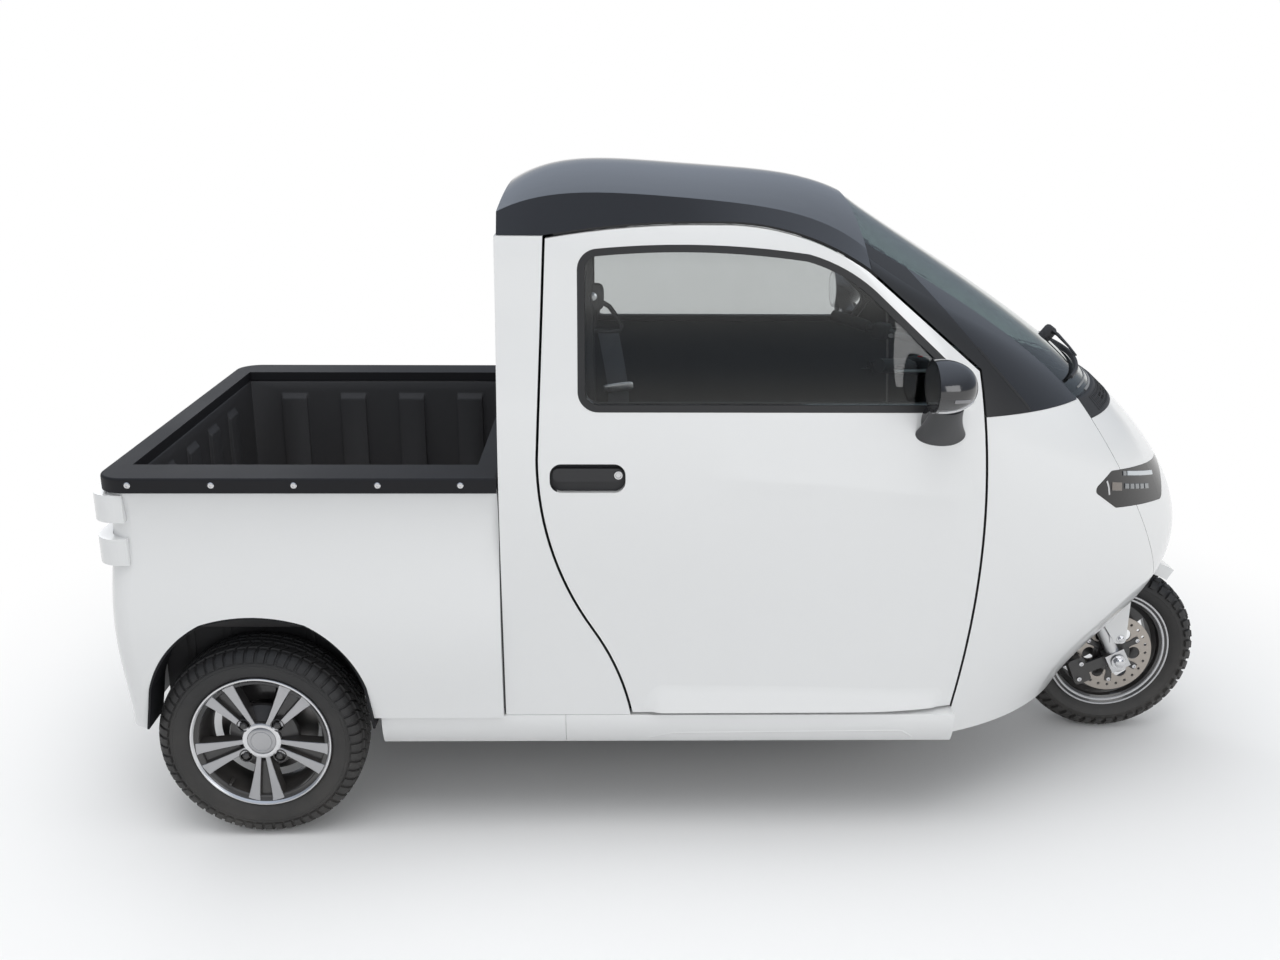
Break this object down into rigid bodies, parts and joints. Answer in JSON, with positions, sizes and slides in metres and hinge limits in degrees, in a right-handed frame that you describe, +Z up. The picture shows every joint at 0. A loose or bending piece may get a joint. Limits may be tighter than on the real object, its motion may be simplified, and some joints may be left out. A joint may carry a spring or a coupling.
{
  "type": "cabin scooter",
  "caption": "Electric cabin scooter with a closed cab over a single steered front wheel, hinged side doors and an open ribbed load bed over the rear axle.",
  "frame": {"origin": "on the ground under the middle of the overall length and width", "axes": "+X forward, +Y to the left side, +Z up"},
  "size_m": [2.7999, 1.4736, 1.5667],
  "materials": {
    "body_white": "gloss white paint",
    "gloss_black": "gloss black moulding",
    "black_plastic": "textured black plastic",
    "clear_glass": "clear, slightly grey",
    "rubber_black": "matte",
    "tyre_black": "matte",
    "alloy": "machined",
    "steel_dark": "satin black",
    "steel_bright": "brushed",
    "lamp_dark": "dark lens",
    "lamp_red": "red lens",
    "seat_black": "black vinyl",
    "mirror_face": "silvered"
  },
  "bodies": {
    "body": {"cab_back": "body_white", "rear_window": "clear_glass", "roof": "gloss_black", "side_panel_right": "body_white", "side_panel_left": "body_white", "nose_panel": "body_white", "headlamps": "lamp_dark", "cowl_grille": "black_plastic", "windscreen": "clear_glass", "pillar_right": "gloss_black", "pillar_left": "gloss_black", "sill_right": "body_white", "sill_left": "body_white", "bed_side_right": "body_white", "bed_side_left": "body_white", "bed_rear": "body_white", "bed_tub": "black_plastic", "bed_rim": "black_plastic", "arch_liners": "black_plastic", "tail_housings": "body_white", "tail_lenses": "lamp_red", "door_hinges": "steel_dark", "floor_pan": "black_plastic", "dashboard": "black_plastic", "battery_box": "black_plastic", "seat_cushion": "seat_black", "seat_back": "seat_black", "headrest": "seat_black", "chassis_frame": "steel_dark", "rear_axle": "steel_dark", "leaf_springs": "steel_dark", "rear_calipers": "steel_dark"},
    "steering": {"fork": "steel_bright", "front_mudguard": "body_white", "handlebar": "steel_dark", "grips": "rubber_black", "front_caliper": "steel_dark"},
    "front_wheel": {"front_tyre": "tyre_black", "front_rim": "alloy", "front_disc": "steel_bright"},
    "rear_wheel_right": {"rear_tyre_right": "tyre_black", "rear_rim_right": "alloy", "rear_disc_right": "steel_bright"},
    "rear_wheel_left": {"rear_tyre_left": "tyre_black", "rear_rim_left": "alloy", "rear_disc_left": "steel_bright"},
    "door_right": {"door_right": "body_white", "window_seal_right": "rubber_black", "door_glass_right": "clear_glass", "handle_right": "black_plastic", "mirror_right": "gloss_black", "mirror_glass_right": "mirror_face"},
    "door_left": {"door_left": "body_white", "window_seal_left": "rubber_black", "door_glass_left": "clear_glass", "handle_left": "black_plastic", "mirror_left": "gloss_black", "mirror_glass_left": "mirror_face"}
  },
  "joints": [
    {"name": "steering", "type": "hinge", "parent": "body", "child": "steering", "pos_m": [1.157, 0, 0.243], "axis": [-0.4695, 0, 0.8829], "range_deg": [-30, 30]},
    {"name": "front_wheel_spin", "type": "hinge", "parent": "steering", "child": "front_wheel", "pos_m": [1.157, 0, 0.243], "axis": [0, 1, 0], "continuous": true},
    {"name": "rear_wheel_right_spin", "type": "hinge", "parent": "body", "child": "rear_wheel_right", "pos_m": [-1.063, -0.505, 0.247], "axis": [0, 1, 0], "continuous": true},
    {"name": "rear_wheel_left_spin", "type": "hinge", "parent": "body", "child": "rear_wheel_left", "pos_m": [-1.063, 0.505, 0.247], "axis": [0, 1, 0], "continuous": true},
    {"name": "door_right_hinge", "type": "hinge", "parent": "body", "child": "door_right", "pos_m": [0.565, -0.552, 0.8], "axis": [0, 0, 1], "range_deg": [0, 65]},
    {"name": "door_left_hinge", "type": "hinge", "parent": "body", "child": "door_left", "pos_m": [0.565, 0.552, 0.8], "axis": [0, 0, -1], "range_deg": [0, 65]}
  ]
}
